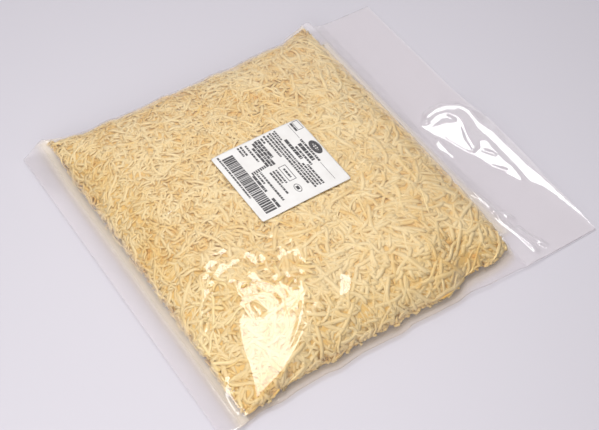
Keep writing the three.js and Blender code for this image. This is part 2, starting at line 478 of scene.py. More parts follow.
folded = np.zeros_like(film_top)
for i, j in np.argwhere(x_mm > NET_STARTS):
    folded[i, j] = on_net(x_mm[i, j], y_mm[i, j]) * MM
share = ease(x_mm, NET_STARTS, NET_FULL)
film_top = film_top * (1 - share) + folded * share
soften(film_top, 1, (x_mm > NET_STARTS) & (x_mm < NET_EVEN))
print("the long end's folds rise to", round(folded.max() / MM, 1), "mm")


# %% [markdown]
# ## Small creases
#
# The finer creases are tents: each is a line along its crest, with a height and a width on both sides, and
# it rises and dies away towards its ends. They could go into the net as well, but a tent is shorter to
# write and can be moved by itself. The finest wrinkles have no places of their own, so they are a noise
# pattern.
#
# In the empty ends the lower sheet lies against the upper one, so there it takes over the upper sheet's
# shape.


# %% Creases
ROUNDNESS = 0.12  # how round a crease's crest is, as a share of its width


def smooth_line(points, steps=48):
    """Closely spaced points on a smooth curve through a few given ones."""
    p = np.array([points[0], *points, points[-1]], float)
    curve = []
    for a, b, c, d in zip(p, p[1:], p[2:], p[3:]):
        t = np.linspace(0, 1, steps // (len(points) - 1) + 1, endpoint=False)[:, None]
        cubic = 2 * b + (c - a) * t + (2 * a - 5 * b + 4 * c - d) * t**2 + (3 * b - a - 3 * c + d) * t**3
        curve.append(cubic / 2)
    return np.vstack([*curve, p[-1:]])


def crease(x, y, line, height, left, right, rise=0.25, fade=0.25):
    """How high a crease stands at x, y. left and right are its widths on each side of its line."""
    crest = smooth_line(line)
    step = np.diff(crest, axis=0)
    step /= np.linalg.norm(step, axis=1)[:, None]
    away = np.stack([x, y], -1)[:, None, :] - crest[:-1]
    near = (away**2).sum(-1).argmin(-1)
    away = away[np.arange(len(near)), near]
    side = step[near, 0] * away[:, 1] - step[near, 1] * away[:, 0]
    distance = np.hypot(*away.T) / np.where(side > 0, left, right)
    roof = np.clip(1 + ROUNDNESS - np.hypot(distance, ROUNDNESS), 0, 1)
    share = near / (len(step) - 1)
    return height * roof * ease(share, 0, rise) * ease(1 - share, 0, fade)


# Each line is in millimetres, and left and right are as seen when walking along it.
CREASES = [
    # beside the pouch's low y, high x corner
    dict(
        line=[(106, -72), (109.3, -86), (109.3, -98), (108.5, -106)],
        height=3.1, left=4, right=2.6, rise=0.1, fade=0.35,
    ),
    dict(
        line=[(108.8, -99), (108.5, -108), (111, -123), (113, -136), (112.5, -147)],
        height=2.1, left=4, right=2.6, rise=0.15, fade=0.2,
    ),
    dict(line=[(113.5, -96), (117, -104), (121, -113)], height=2.7, left=3, right=4, rise=0.5, fade=0.5),
    dict(
        line=[(115, -116), (117, -127), (121.5, -137), (125.5, -148)],
        height=2.2, left=4, right=2.6, rise=0.15, fade=0.3,
    ),
    # creases across the facets beside the great fold
    dict(line=[(142, -40), (146, -47), (149, -53)], height=-0.8, left=1.5, right=1.5),
    dict(line=[(139, -55), (143, -62), (148, -70)], height=-0.8, left=1.5, right=1.5),
    # the short end slopes more steeply towards its low y corner
    dict(line=[(-151, -30), (-151, -95), (-151, -149.5)], height=2.6, left=8, right=16, rise=0.9, fade=0.08),
]

creased = (x_mm > 100) | (x_mm < -143)  # beyond here lie all the creases
for fold in CREASES:
    film_top[creased] += crease(x_mm[creased], y_mm[creased], **fold) * MM
print(len(CREASES), "creases, up to", max(fold["height"] for fold in CREASES), "mm high")

# %% Wrinkles, and the lower sheet
WRINKLE = 0.12 * MM  # the height of the finest wrinkles
WRINKLE_LENGTH = 5.0  # in mm
NEAREST, FURTHEST = 0.1, 0.5  # mm between the sheets where the bag is empty
OPENING = 0.03  # how fast the sheets part, going in from the ends
WRINKLES_START = 108  # x in mm
EMPTY_LOW, EMPTY_HIGH = -151, 100  # x in mm beyond which the bag is empty

for i, j in np.argwhere((x_mm > WRINKLES_START) & ~rim):
    film_top[i, j] += WRINKLE * noise.noise(Vector((x_mm[i, j], y_mm[i, j], 0)) / WRINKLE_LENGTH)
from_end = np.minimum(x_mm - cad_low.x / MM, cad_high.x / MM - x_mm)
most_apart = np.clip(NEAREST + OPENING * from_end, 0, FURTHEST) * MM
follows = film_top - np.clip(film_top - film_under, NEAREST * MM, most_apart)
empty = (x_mm > EMPTY_HIGH) | (x_mm < EMPTY_LOW)
film_under = np.where(empty, np.maximum(follows, HAIR), film_under)
film_under = np.where(empty & rim, film_top, film_under)
print("the sheets come as near as", round((film_top - film_under)[~rim].min() / MM, 2), "mm")

# %% [markdown]
# ## From heights to a bag
#
# A bag could be made by pulling a cube about, or by laying a flat sheet over the cheese in a simulation.
# Here the heights are already known, so the bag starts as two flat grids, one for each sheet. Each corner
# is lifted to its height, the lower grid is turned to face down, and the two are joined where they meet at
# the rim. That leaves one closed skin. Film is thinner than a hair, so the skin has no thickness of its
# own.


# %% A bag from two grids of heights
def lift_grid(bm, x, y, heights):
    """Adds a flat grid and lifts its corners to the heights at x and y. Returns its faces."""
    steps = np.array(heights.shape) - 1
    grid = bmesh.ops.create_grid(bm, x_segments=steps[0], y_segments=steps[1], size=0.5)
    for vertex in grid["verts"]:
        i, j = round((vertex.co.x + 0.5) * steps[0]), round((vertex.co.y + 0.5) * steps[1])
        vertex.co = (x[i], y[i, j], heights[i, j])
    return faces_at(grid["verts"])


def make_bag(x, y, top, under):
    """A closed skin from the heights of its top and underside. A wall joins rims that lie apart."""
    bm = bmesh.new()
    lift_grid(bm, x, y, top)
    bmesh.ops.reverse_faces(bm, faces=lift_grid(bm, x, y, under))
    bmesh.ops.remove_doubles(bm, verts=bm.verts, dist=HAIR / 50)
    open_edges = [edge for edge in bm.edges if edge.is_boundary]
    if open_edges:
        bmesh.ops.bridge_loops(bm, edges=open_edges)
        bmesh.ops.recalc_face_normals(bm, faces=bm.faces)
    bm.normal_update()
    for face in bm.faces:
        face.smooth = True
    return bm


def bag_as_tree(name, x, y, top, under):
    """The same skin, as a tree for rays."""
    skin = make_bag(x, y, top, under)
    print(f"the {name} has {len(skin.faces)} faces, and is closed:", all(e.is_manifold for e in skin.edges))
    return to_tree(skin)


# %% [markdown]
# ## The room inside the pouch
#
# The shreds need a shape to be laid against. The film itself would do for most of the bag, but cheese stops
# short of the rim, where the sheets come together, and along the high y side the film stands a little off
# it. So a second, slightly smaller skin is made in the same way. It starts where the sheets are a few
# millimetres apart, and it is lowered along that side. It is never shown, and the code calls it the room.

# %% The room inside the pouch
NARROWEST = 3.0 * MM  # the sheets are this far apart where the cheese ends
ROOM_INSET = 0.8 * MM  # and the cheese stays a little further in
FAR_AIR = 2.0 * MM  # the air under the film along the high y side
FAR_AIR_STARTS, FAR_AIR_FULL = -16, -3  # where it is, in mm from that side of the cheese
ROOM_STEPS = 150

apart = film_top - film_under
in_pouch = np.flatnonzero(apart[:, ACROSS // 2] > NARROWEST)
first, last = xs[in_pouch[[0, -1]]]
room_columns = in_pouch[(xs[in_pouch] > first + ROOM_INSET) & (xs[in_pouch] < last - ROOM_INSET)]
room_x = xs[room_columns]
room_y = np.zeros((len(room_x), ROOM_STEPS + 1))
room_top = np.zeros_like(room_y)
room_under = np.zeros_like(room_y)
for k, i in enumerate(room_columns):
    wide = ys[i, apart[i] > NARROWEST]
    room_y[k] = np.interp(np.linspace(-1, 1, ROOM_STEPS + 1), even, across)
    room_y[k] = wide[0] + ROOM_INSET + (wide[-1] - wide[0] - 2 * ROOM_INSET) * (room_y[k] + 1) / 2
    room_top[k] = np.interp(room_y[k], ys[i], film_top[i])
    room_under[k] = np.interp(room_y[k], ys[i], film_under[i])
air = FAR_AIR * ease((room_y - room_y[:, -1:]) / MM, FAR_AIR_STARTS, FAR_AIR_FULL)
room_top = np.maximum(room_top - air, room_under + NARROWEST)

room_tree = bag_as_tree("room", room_x, room_y, room_top, room_under)
film_tree = bag_as_tree("film", xs, ys, film_top, film_under)

# %% [markdown]
# ## The cheese
#
# Grated cheese looks like a tangle of short soft ribbons, each about 3 mm wide. Nearly all that shows of it
# is the layer pressed against the film, so only a few layers are made as shreds, and a plain pillow, the
# core, fills the middle.
#
# The cheese's colour is a pale ivory yellow. No two shreds are quite alike: most are pale, some are a deeper
# gold, and a few are nearly orange. Each shred carries its own number from 0 to 1, in an attribute
# called tone, and the material turns that number into a colour through a ramp. Part of that number comes
# from how deep the shred lies, which paints the lower layers a deeper gold: painted shade. Two noise
# patterns shift it as well, a small one within each shred and a broad one from one part of the heap to the
# next. Light also goes a little way into cheese, so the gaps between shreds glow warm and are never black.


# %% Cheese material
def cheese_material(name, stops):
    """Cheese in the colours that these stops of a ramp give."""
    material, tree = new_material(name)
    patchy = maths(tree, "MULTIPLY_ADD", pattern(tree, 110.0, 3.0), 1.2, -0.6)
    broad = maths(tree, "MULTIPLY_ADD", pattern(tree, 20.0, 1.0), 0.8, -0.4)
    tone = maths(tree, "ADD", maths(tree, "ADD", carried(tree, "tone"), patchy), broad)
    colour = ramp(tree, tone, *stops)
    grain = bumps(tree, pattern(tree, 1100.0, 2.0), 0.35, 0.3 * MM)
    settings = dict(Base_Color=colour, Roughness=0.5, Specular_IOR_Level=0.4, Normal=grain)
    surface = add_node(tree, "BsdfPrincipled", **settings)
    through = add_node(tree, "BsdfTranslucent", Color=colour, Normal=grain)
    show(tree, mix(tree, 0.12, surface, through))
    return material


# From pale ivory to nearly orange. Painted depth shade moves the deeper shreds along it towards gold.
SHRED_COLOURS = [
    (0.00, (0.905, 0.725, 0.385, 1)),
    (0.35, (0.865, 0.65, 0.295, 1)),
    (0.65, (0.825, 0.56, 0.19, 1)),
    (1.00, (0.745, 0.395, 0.09, 1)),
]
# The core shows only in the gaps, so its gold is deeper than the shreds': painted shade for those gaps.
CORE_SHADED_COLOURS = [(0.0, (0.85, 0.57, 0.19, 1)), (1.0, (0.78, 0.49, 0.13, 1))]
shred_material = cheese_material("grated_cheese", SHRED_COLOURS)
core_material = cheese_material("cheese_core", CORE_SHADED_COLOURS)

# %% [markdown]
# ## The core
#
# The core only has to fill the dark between the shreds, so it can stay coarse. Its colour is a deeper gold
# than the shreds', as painted shade for those gaps. It could be a squashed ball, but then it would leave
# hollows at the bag's corners. A grid lifted to the bag's own heights, less the thickness of the shreds,
# follows the bag everywhere.

# %% Core
CORE_DEPTH = 2.4 * MM  # how far under the film the core lies
CORE_INSET = 3.5 * MM  # and how far in from the ends and sides of the cheese
CORE_STEPS = 90
CORE_BUMPS, CORE_BUMPS_PER_METRE = 0.6 * MM, 260  # how high they are, and how close together


def core_place(u, v, is_top):
    """Where the core's surface is, for u and v from 0 to 1 along and across it."""
    x = room_x[0] + CORE_INSET + (room_x[-1] - room_x[0] - 2 * CORE_INSET) * u
    k = np.abs(room_x - x).argmin()
    y = room_y[k, 0] + CORE_INSET + (room_y[k, -1] - room_y[k, 0] - 2 * CORE_INSET) * v
    top = np.interp(y, room_y[k], room_top[k]) - CORE_DEPTH
    under = np.interp(y, room_y[k], room_under[k]) + CORE_DEPTH
    middle = (top + under) / 2
    if min(u, v, 1 - u, 1 - v) < 1e-6:
        return x, y, middle
    return x, y, max(top, middle) if is_top else min(under, middle)


core = bmesh.new()
for is_top in (True, False):
    grid = bmesh.ops.create_grid(core, x_segments=CORE_STEPS, y_segments=CORE_STEPS, size=0.5)
    for vertex in grid["verts"]:
        vertex.co = core_place(vertex.co.x + 0.5, vertex.co.y + 0.5, is_top)
bmesh.ops.reverse_faces(core, faces=faces_at(grid["verts"]))
bmesh.ops.remove_doubles(core, verts=core.verts, dist=HAIR / 50)
core.normal_update()
for vertex in core.verts:
    vertex.co += vertex.normal * CORE_BUMPS * noise.fractal(vertex.co * CORE_BUMPS_PER_METRE, 0.8, 2.0, 2)
for face in core.faces:
    face.smooth = True
core_piece = finish_piece(to_mesh(core, "cheese_core"), core_material)
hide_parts("filled_bag")

# %% [markdown]
# ## One shred
#
# A shred starts as a cube. Loop cuts along its length let it bend, and its ends are pinched, as a grater
# leaves them. It could have rounder sides, but it is copied thousands of times, so it keeps to thirty
# faces, and smooth shading does the rest.


# %% Shred template
def shred_template(cuts, pinch):
    """Corners and faces of a bar 1 long, 1 wide and 1 thick, cut across so that it can bend."""
    bm = bmesh.new()
    bmesh.ops.create_cube(bm, size=1)
    lengthwise = [e for e in bm.edges if abs(e.verts[0].co.x - e.verts[1].co.x) > 0.5]
    bmesh.ops.subdivide_edges(bm, edges=lengthwise, cuts=cuts, use_grid_fill=True)
    for vertex in bm.verts:
        if abs(vertex.co.x) > 0.499:
            vertex.co.yz *= pinch
    bm.verts.index_update()
    corners = np.array([vertex.co for vertex in bm.verts])
    faces = np.array([[vertex.index for vertex in face.verts] for face in bm.faces])
    bm.free()
    return corners, faces


SHRED = shred_template(cuts=6, pinch=0.5)
SHORT_SHRED = shred_template(cuts=4, pinch=0.55)
CRUMB = shred_template(cuts=2, pinch=0.6)
for name, (_, faces) in (("a shred", SHRED), ("a short shred", SHORT_SHRED), ("a crumb", CRUMB)):
    print(name, "has", len(faces), "faces")

# %% [markdown]
# ## Laying the shreds
#
# Each shred is laid in four steps. A spot on the room's skin is picked at random, on the top or on the
# underside. From there a gently curving line is walked along the skin. Every point of the line is pushed in
# under it, on some shreds just under it and on others a few layers deep, but never past the middle of a
# thin place. Last, the template is wrapped round the line.
#
# Some shreds would still poke out of the film, as at the bag's thin rim. Those are dropped, which also
# gives the cheese the ragged edge that it has in a real bag.

# %% Pick spots on the film
rng = np.random.default_rng(12)
CLEARANCE = 0.3 * MM  # from the film to the nearest shred
TOP_SHARE = 0.66  # the share of the shreds that lie under the top sheet
ALL_FINE, ALL_COARSE = -190, 130  # x less y, in mm, near two opposite corners


def coarseness(x, y):
    """The cheese is finest at the low x, high y corner and coarsest at the opposite one."""
    return ease((x - y) / MM, ALL_FINE, ALL_COARSE)


def pick_spots(count, fine, coarse):
    """Random spots on both sheets. fine and coarse say how closely they lie where the cheese is so."""
    spots = []
    for heights, share in ((room_top, TOP_SHARE), (room_under, 1 - TOP_SHARE)):
        corners = np.stack([np.broadcast_to(room_x[:, None], room_y.shape), room_y, heights], -1)
        one = corners[1:, :-1] - corners[:-1, :-1]
        other = corners[:-1, 1:] - corners[:-1, :-1]
        how_coarse = coarseness(corners[:-1, :-1, 0], corners[:-1, :-1, 1])
        weight = np.linalg.norm(np.cross(one, other), axis=-1) * (fine + (coarse - fine) * how_coarse)
        cells = rng.choice(weight.size, int(count * share), p=(weight / weight.sum()).ravel())
        i, j = np.unravel_index(cells, weight.shape)
        slide = rng.random((2, len(cells), 1))
        spots.append(corners[i, j] + slide[0] * one[i, j] + slide[1] * other[i, j])
    return np.concatenate(spots)


def under_film(points, depth):
    """Moves points to a depth under the film, at most half way through. Returns them and the normals."""
    moved, normals = np.empty_like(points), np.empty_like(points)
    for k, (point, deep) in enumerate(zip(points, depth)):
        on_film, normal, _, _ = room_tree.find_nearest(point)
        to_other_side = room_tree.ray_cast(on_film - normal * HAIR, -normal)[3] or 2 * deep
        moved[k], normals[k] = on_film - normal * min(deep, to_other_side / 2), normal
    return moved, normals


def inside_film(point):
    """How far a point lies inside the film, in metres. It is negative outside."""
    on_film, normal, _, _ = film_tree.find_nearest(point)
    return (on_film - Vector(point)).dot(normal)


def unit(vectors):
    """The vectors, each made 1 long."""
    return vectors / np.linalg.norm(vectors, axis=-1, keepdims=True)


# %% Wrap shreds round their lines
def wrap(shape, line, out, roll, wide, thick):
    """The corners of every shred. line and out are its points and the directions out of the film there."""
    corners = shape[0]
    along = unit(np.gradient(line, axis=1))
    flank = unit(np.cross(out, along))
    out = np.cross(along, flank)
    c, s = np.cos(roll)[:, None, None], np.sin(roll)[:, None, None]
    flank, out = flank * c + out * s, out * c - flank * s
    lengthwise = np.round(corners[:, 0], 4)
    rung = np.searchsorted(np.unique(lengthwise), lengthwise)
    sideways = corners[:, 1][:, None] * wide[:, None, None]
    upwards = corners[:, 2][:, None] * thick[:, None, None]
    return line[:, rung] + flank[:, rung] * sideways + out[:, rung] * upwards


def join_shreds(name, placed, tones_with_depth_shade, shape):
    """One piece of many shreds. Returns it with its corners and faces."""
    corners, faces = shape
    places = placed.reshape(-1, 3)
    corner_ids = (faces[None] + np.arange(len(placed))[:, None, None] * len(corners)).reshape(-1, 4)
    mesh = bpy.data.meshes.new(name)
    mesh.from_pydata(places, [], corner_ids)
    mesh.shade_smooth()
    tone = mesh.attributes.new("tone", "FLOAT", "POINT")
    tone.data.foreach_set("value", np.repeat(tones_with_depth_shade, len(corners)))
    return finish_piece(mesh, shred_material), places, corner_ids


# %% Lay one kind of shred
# Deeper shreds are painted a deeper gold, as painted shade for the lower layers.
DEPTH_SHADE = 0.45  # the share of a shred's tone that comes from how deep it lies
FINEST, COARSER = 0.78, 0.3  # the size where the cheese is finest, and what is added where it is coarsest
ROLL = 0.35  # how far a shred is turned about its length, in radians
CROWDED = 1.3  # above 1, more of the shreds lie close under the film
LEAN = 1.6  # mm, the most that a shred goes down along its length
WAVE = 0.45  # how strong its S-bend is beside its plain bend
COVERED = 0.8  # how far under the film it has to lie, as a share of half its thickness


def lay_shreds(name, count, length, width, thickness, tone, fine, coarse, layers, curl=0.1, shape=SHRED):
    """Lays shreds and joins them into one piece. Sizes are (low, high) in mm, layers is how deep they go."""
    spots = pick_spots(count, fine, coarse)
    n = len(spots)
    size = FINEST + COARSER * coarseness(spots[:, 0], spots[:, 1])
    long = rng.uniform(*length, n) * size * MM
    wide = rng.uniform(*width, n) * size * MM
    thick = rng.uniform(*thickness, n) * size * MM
    roll = rng.normal(0, ROLL, n)
    reach = np.hypot(wide * np.sin(roll), thick * np.cos(roll)) / 2
    layer = rng.random(n) ** CROWDED
    deep = CLEARANCE + reach + layers * MM * layer
    lean = rng.uniform(0, LEAN, n) * MM
    bend, wave = rng.normal(0, curl, n), rng.normal(0, curl * WAVE, n)

    _, normal = under_film(spots, deep)
    aside = unit(np.cross(normal, rng.normal(size=normal.shape)))
    ahead = np.cross(aside, normal)
    line, out = [], []
    for s in np.unique(np.round(shape[0][:, 0], 4)):
        curve = bend * (4 * s * s - 0.33) + wave * math.sin(2 * math.pi * s)  # about 0 on average
        point = spots + (ahead * s + aside * curve[:, None]) * long[:, None]
        point, facing = under_film(point, deep + lean * (s + 0.5))
        line.append(point)
        out.append(facing)
    line, out = np.stack(line, 1), np.stack(out, 1)

    placed = wrap(shape, line, out, roll, wide, thick)
    clear = [all(inside_film(point) > COVERED * half for point in row) for row, half in zip(line, reach)]
    # Each tone is partly the shred's own, at random, and partly painted shade from how deep it lies.
    tones_with_depth_shade = rng.beta(*tone, n) * (1 - DEPTH_SHADE) + layer * DEPTH_SHADE
    print(name, "laid", n, "kept", sum(clear))
    return join_shreds(name, placed[clear], tones_with_depth_shade[clear], shape)


# %% Lay every kind
KINDS = {
    "long_shreds": dict(
        count=2900, length=(20, 34), width=(2.6, 3.4), thickness=(1.1, 1.5), tone=(2, 6),
        fine=0.3, coarse=1.6, layers=3, curl=0.07,
    ),
    "middle_shreds": dict(
        count=3300, length=(13, 24), width=(2.2, 3.1), thickness=(1.0, 1.4), tone=(2, 4.5),
        fine=0.7, coarse=1.2, layers=3, curl=0.12,
    ),
    "golden_shreds": dict(
        count=850, length=(12, 24), width=(2.2, 3.1), thickness=(1.0, 1.4), tone=(5, 2.5),
        fine=0.6, coarse=1.4, layers=3, curl=0.13,
    ),
    "fine_shreds": dict(
        count=4300, length=(9, 17), width=(2.0, 2.8), thickness=(0.9, 1.3), tone=(2, 4),
        fine=1.6, coarse=0.25, layers=2, curl=0.17, shape=SHORT_SHRED,
    ),
    "cheese_crumbs": dict(
        count=5600, length=(5, 10), width=(1.8, 2.6), thickness=(0.9, 1.3), tone=(2, 4),
        fine=1.8, coarse=0.4, layers=2, shape=CRUMB,
    ),
}
piles = [lay_shreds(name, **kind) for name, kind in KINDS.items()]

# %% [markdown]
# ## The film rests on the cheese
#
# Film that is drawn over shreds touches the highest of them and sags a little in between. The sag could be
# a noise pattern, but then its bumps would have nothing to do with the shreds under them. So the gap from
# the film down to the nearest shred is measured with rays, evened out, and a share of it is taken off the
# film's height. Where a broad light is mirrored in the film, this breaks its reflection up along the
# shreds.

# %% Sag between the shreds
SAG = 0.3  # the share of each gap that the film sags
MORE_SAG, LESS_SAG = 1.3, 2.24  # how that share changes at the taut corner, and where it is tightest
SLACK_OVER = 14  # mm round the taut corner where the film is slacker
DEEPEST = 3 * MM  # how far down a gap is looked for
STAYS_OFF = 0.1 * MM  # what is always left of it

places, corner_ids, offset = [], [], 0
for _, pile_places, pile_ids in piles:
    places.append(pile_places)
    corner_ids.append(pile_ids + offset)
    offset += len(pile_places)
shred_tree = BVHTree.FromPolygons(np.concatenate(places).tolist(), np.concatenate(corner_ids).tolist())

gap = np.zeros_like(film_top)
for i, j in np.argwhere(filled & ~rim):
    hit = shred_tree.ray_cast(Vector((xs[i], ys[i, j], film_top[i, j])), DOWN, DEEPEST)
    gap[i, j] = hit[3] if hit[0] else DEEPEST
soften(gap, 2)
slack = ease(how_far_inside(TAUT_CORNERS, x_mm, y_mm), -SLACK_OVER, 0)
sag = SAG * (1 + MORE_SAG * slack - LESS_SAG * tight) * gap
film_top -= np.clip(sag, 0, np.maximum(gap - STAYS_OFF, 0))
print("the film sags up to", round(sag.max() / MM, 2), "mm")

# %% One small facet that stands off the cheese
FACET = dict(
    line=[(-28, -99.5), (-35, -110.5), (-44, -123)],
    height=1.8, left=3, right=7.5, rise=0.15, fade=0.5,
)

film_top[~rim] += crease(x_mm[~rim], y_mm[~rim], **FACET) * MM
print("the film is", round(film_top.max() / MM, 1), "mm high at the most")

# %% [markdown]
# ## The film
#
# Clear film is nearly invisible head on, and mirrors its surroundings like glass where it turns away from
# the eye. A glass shader would bend the light as a solid block does, which film is far too thin for. So the
# material mixes two shaders: a transparent one, and a glossy one whose share grows with the angle. That
# share is worked out for both faces of the film together, about 6 percent head on. A trace of white haze
# gives the film a body. The haze grows as the film turns edge on, a painted sheen beside the glossy one.
#
# Such film isn't clean all over. Close to the cheese it carries oil and cheese dust, which tint it, and its
# empty ends have been handled and are a little cloudy. Both could be painted by hand. Here each point of
# the film carries two numbers, dust_and_shade and rubbed, which come from how far it lies from the cheese,
# and the material reads them. The first also paints light and shade: in the band next to the cheese the
# film is tinted darker and warmer, a painted contact shade, and its haze turns warm beige, a painted glow
# from the cheese. The heat seals are flat, plain film and need no shape of their own.


# %% Film material
def film_material():
    """Clear film. Each curve is a power of facing, which runs from 0 head on to 1 edge on."""
    material, tree = new_material("clear_film")
    dust_and_shade, rubbed = carried(tree, "dust_and_shade"), carried(tree, "rubbed")
    bump = bumps(tree, pattern(tree, 120.0, 2.0), 0.2, 0.4 * MM)
    facing = add_node(tree, "LayerWeight", Blend=0.5, Normal=bump).outputs["Facing"]
    mirror = maths(tree, "MULTIPLY_ADD", maths(tree, "POWER", facing, 5.0), 0.945, 0.055)
    # Beside the cheese the film lets through less light, and warmer: painted contact shade on top of the
    # oil's tint.
    clear_and_shade_colour = ramp(tree, dust_and_shade, (0.0, (0.995, 0.985, 0.985, 1)), (1.0, (0.975, 0.945, 0.90, 1)))
    clear = add_node(tree, "BsdfTransparent", Color=clear_and_shade_colour)
    # There its haze turns warm beige as well: a painted glow from the cheese, on top of the dust's own
    # colour.
    haze_and_glow_colour = ramp(tree, dust_and_shade, (0.0, (0.95, 0.91, 0.92, 1)), (1.0, (0.97, 0.885, 0.76, 1)))
    haze = add_node(tree, "BsdfDiffuse", Color=haze_and_glow_colour)
    # The haze grows towards edge on: a painted sheen where the film turns away, beside its real haze.
    haze_and_sheen = maths(tree, "MULTIPLY_ADD", maths(tree, "POWER", facing, 3.0), 0.3, 0.02)
    haze_and_sheen = maths(tree, "MULTIPLY_ADD", rubbed, 0.3, haze_and_sheen)
    gloss = add_node(tree, "BsdfGlossy", Color=(1, 1, 1, 1), Roughness=0.06, Normal=bump)
    show(tree, mix(tree, mirror, mix(tree, haze_and_sheen, clear, haze), gloss))
    return material


# %% Film
ENDS_RUBBED = 0.33  # how cloudy the empty ends are
LOW_SIDE_RUBBED = 0.2  # the share of the dust that clouds the low y side
# These numbers place the band of dust, which also carries the painted shade and glow next to the cheese.
CLEAN = -3  # mm past the cheese's edge, before any dust begins
MOST_DUST_AND_SHADE, DUST_AND_SHADE_FADES, DUST_AND_SHADE_ENDS = 1, 2, 12  # mm past it, where there is most dust, less and none
ALL_RUBBED = 2  # mm past it, where the ends are as cloudy as they get

film = make_bag(xs, ys, film_top, film_under)
for edge in film.edges:
    at_end = all(min(v.co.x - cad_low.x, cad_high.x - v.co.x) < 2 * HAIR for v in edge.verts)
    edge.smooth = not at_end
dust_and_shade = film.verts.layers.float.new("dust_and_shade")
rubbed = film.verts.layers.float.new("rubbed")
for vertex in film.verts:
    x, y = vertex.co.xy
    past_end = max(room_x[0] - x, x - room_x[-1]) / MM
    past_far = (y - np.interp(x, room_x, room_y[:, -1])) / MM
    past_near = (np.interp(x, room_x, room_y[:, 0]) - y) / MM
    past_cheese = max(past_end, past_far, past_near)
    # Most dust and painted shade lie just past the cheese's edge.
    vertex[dust_and_shade] = ease(past_cheese, CLEAN, MOST_DUST_AND_SHADE) * (1 - ease(past_cheese, DUST_AND_SHADE_FADES, DUST_AND_SHADE_ENDS))
    # The dust clouds the film too, and that haze is the painted warm glow; the low y side gets little of it.
    dust_and_shade_haze = vertex[dust_and_shade] * (1 if max(past_end, past_far) > CLEAN else LOW_SIDE_RUBBED)
    vertex[rubbed] = max(ENDS_RUBBED * ease(past_end, CLEAN, ALL_RUBBED), dust_and_shade_haze)
film_piece = finish_piece(to_mesh(film, "film"), film_material())
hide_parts("filled_bag")


# %% [markdown]
# ## The sticker
#
# The sticker is a sheet of paper with glue on its back. It follows the bag's broad curve but bridges the
# shreds, and its rim stands up by a hair where the glue hasn't taken. A flat box would do from far off, but
# its corners would either float or sink in. So the sticker is a grid like the film's, lifted to the top of
# the CAD sticker, with rounded corners, a slight waviness and a thickness of a quarter of a millimetre.


# %% Paper
def paper_material():
    """White paper, a little uneven in colour, with fibres."""
    material, tree = new_material("sticker_paper")
    cloud = pattern(tree, 90.0, 2.0)
    colour = ramp(tree, cloud, (0.3, (0.71, 0.685, 0.655, 1)), (0.7, (0.76, 0.74, 0.715, 1)))
    fibres = bumps(tree, pattern(tree, 1500.0, 4.0), 0.2, 0.05 * MM)
    show(tree, add_node(tree, "BsdfPrincipled", Base_Color=colour, Roughness=0.5, Normal=fibres))
    return material


def ink_material():
    """Black print, worn grey in places."""
    material, tree = new_material("sticker_ink")
    worn = pattern(tree, 700.0, 3.0)
    colour = ramp(tree, worn, (0.35, (0.035, 0.033, 0.035, 1)), (0.75, (0.11, 0.10, 0.10, 1)))
    show(tree, add_node(tree, "BsdfPrincipled", Base_Color=colour, Roughness=0.55))
    return material


# %% Sticker
PAPER_STEPS = 32
PAPER_THICKNESS = 0.25 * MM
CORNER = 1.6 * MM  # the radius of the sticker's corners
TURN = 0.7  # how far in from the edge a rounded corner gets a point, as a share of that
PAPER_WAVE, WAVES_PER_METRE = 0.35 * MM, 45  # how high the paper's waves are, and how close together
LIFT, LIFT_WIDTH = 0.3 * MM, 6  # how far its rim stands up, and how many mm in from the edge that starts

sticker_tree = cad_tree("sticker")
sticker_points = np.array([vertex.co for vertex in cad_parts["sticker"].data.vertices])
sticker_low, sticker_high = Vector(sticker_points.min(0)), Vector(sticker_points.max(0))
sticker_middle = (sticker_low + sticker_high) / 2
label_high = sticker_high.x - sticker_low.x  # from the print's foot to its head, which points towards +x
label_wide = sticker_high.y - sticker_low.y
print("the sticker measures", round(label_wide / MM, 1), "by", round(label_high / MM, 1), "mm")


def paper_top(x, y):
    """How high the paper's top lies at x, y."""
    x = min(max(x, sticker_low.x + HAIR), sticker_high.x - HAIR)
    y = min(max(y, sticker_low.y + HAIR), sticker_high.y - HAIR)
    z = sticker_tree.ray_cast(Vector((x, y, cad_high.z + 1)), DOWN)[0].z
    edge = min(x - sticker_low.x, sticker_high.x - x, y - sticker_low.y, sticker_high.y - y)
    wave = noise.noise(Vector((x, y, 0)) * WAVES_PER_METRE) * PAPER_WAVE
    return z + wave + LIFT * (1 - ease(edge / MM, 0, LIFT_WIDTH))


def rounded(dx, dy):
    """Draws a point of the sticker in, where it lies in a corner. It is given from the sticker's middle."""
    half_x, half_y = label_high / 2 - CORNER, label_wide / 2 - CORNER
    past_x, past_y = abs(dx) - half_x, abs(dy) - half_y
    if past_x <= 0 or past_y <= 0:
        return dx, dy
    shrink = max(past_x, past_y) / math.hypot(past_x, past_y)
    return math.copysign(half_x + past_x * shrink, dx), math.copysign(half_y + past_y * shrink, dy)


def spread(share):
    """Moves the step next to an edge out a little, so that the corners have points enough to turn."""
    if 1 - 2.5 / PAPER_STEPS < abs(share) < 0.999:
        return math.copysign(1 - 2 * TURN * CORNER / label_high, share)
    return share


